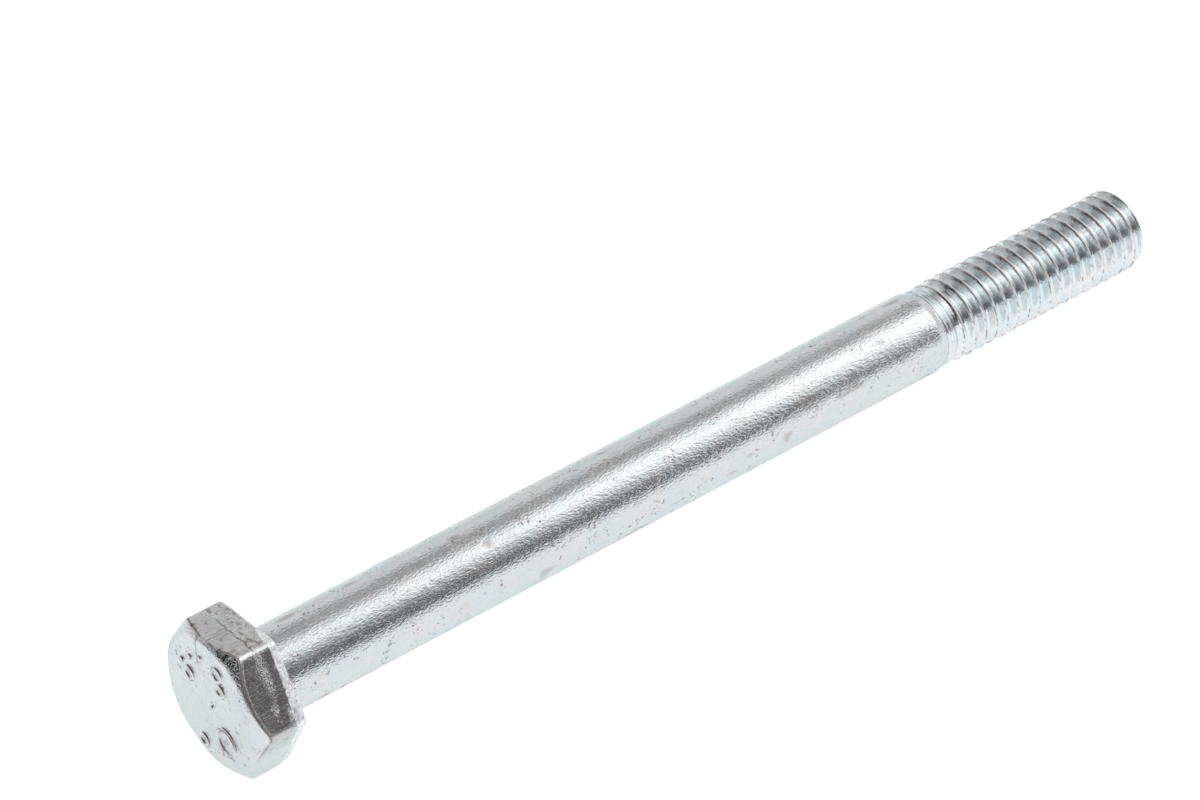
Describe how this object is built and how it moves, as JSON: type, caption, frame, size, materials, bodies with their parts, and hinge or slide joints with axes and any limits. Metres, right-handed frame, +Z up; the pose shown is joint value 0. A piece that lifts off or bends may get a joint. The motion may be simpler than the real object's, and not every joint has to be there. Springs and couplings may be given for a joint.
{
  "type": "hex bolt",
  "caption": "Partly threaded hex bolt: chamfered hexagonal head with a raised bearing ring, plain shank, rolled right-hand thread and chamfered point.",
  "frame": {"origin": "centre of the bearing face, on the axis of the bolt", "axes": "+X along the axis from the head to the point; +Z up, at right angles to the upper flat of the head; +Y through a corner of the head"},
  "size_m": [0.0788, 0.0116, 0.01],
  "materials": {
    "zinc_head": "bright zinc over forged and sheared steel, fine streaks on the flats",
    "zinc_washer_face": "bright zinc, smooth",
    "zinc_shank": "bright zinc with a fine grain, faint blue tint",
    "zinc_thread": "bright zinc over a rolled thread, smooth, faint blue tint"
  },
  "bodies": {
    "root": {"hex_head": "zinc_head", "washer_face": "zinc_washer_face", "shank": "zinc_shank", "thread": "zinc_thread"}
  },
  "joints": []
}
